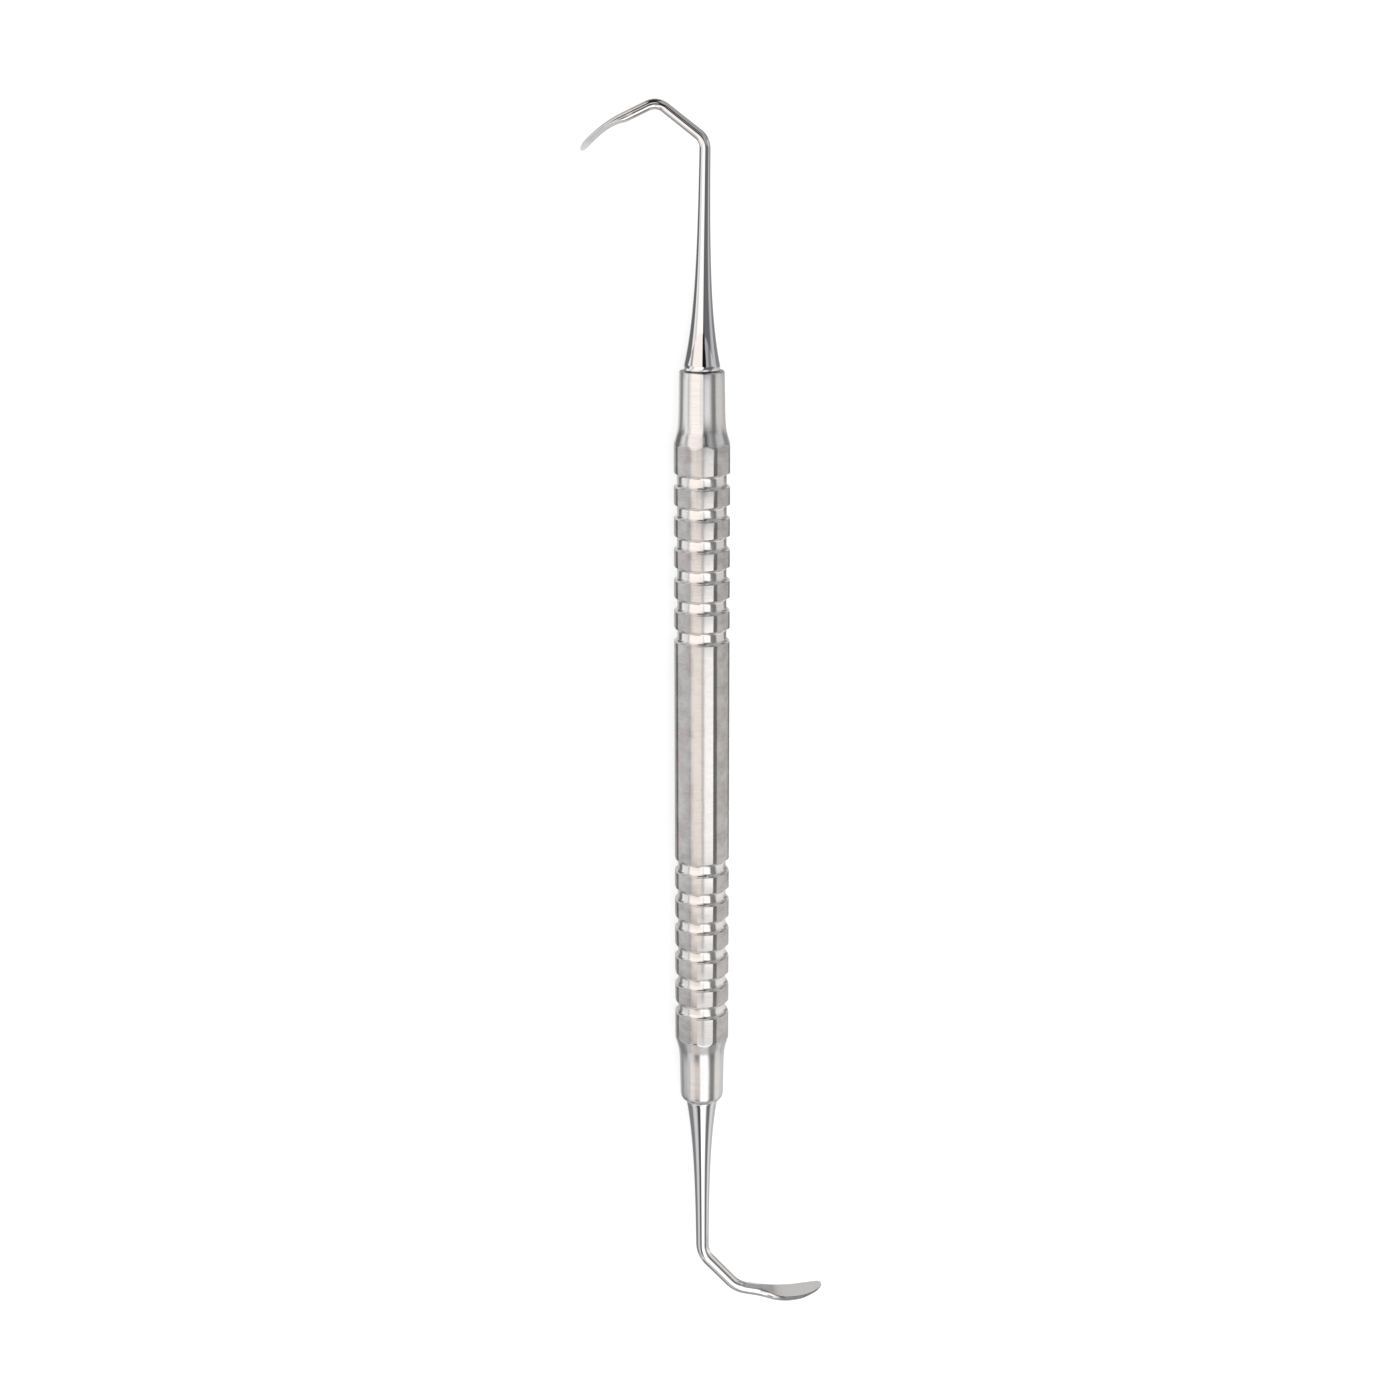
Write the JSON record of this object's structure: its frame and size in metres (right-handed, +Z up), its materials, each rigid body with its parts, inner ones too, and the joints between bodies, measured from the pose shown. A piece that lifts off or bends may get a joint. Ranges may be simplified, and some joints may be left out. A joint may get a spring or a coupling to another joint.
{
  "type": "hand scaler",
  "caption": "Double-ended dental hand instrument: octagonal grooved steel handle with a slim hooked blade at one end and a spoon blade at the other.",
  "frame": {"origin": "middle of the handle's underside flat, midway between its two ends", "axes": "+X along the handle towards the hooked end, +Y to the side that the hook bends to, +Z up from the flat that the handle lies on"},
  "size_m": [0.1847, 0.0359, 0.008],
  "materials": {
    "satin_steel": "satin turned and lapped stainless steel",
    "polished_steel": "mirror-polished stainless steel, with fine ground faces on the blades"
  },
  "bodies": {
    "root": {"handle": "satin_steel", "hook_insert": "polished_steel", "spoon_insert": "polished_steel"}
  },
  "joints": []
}
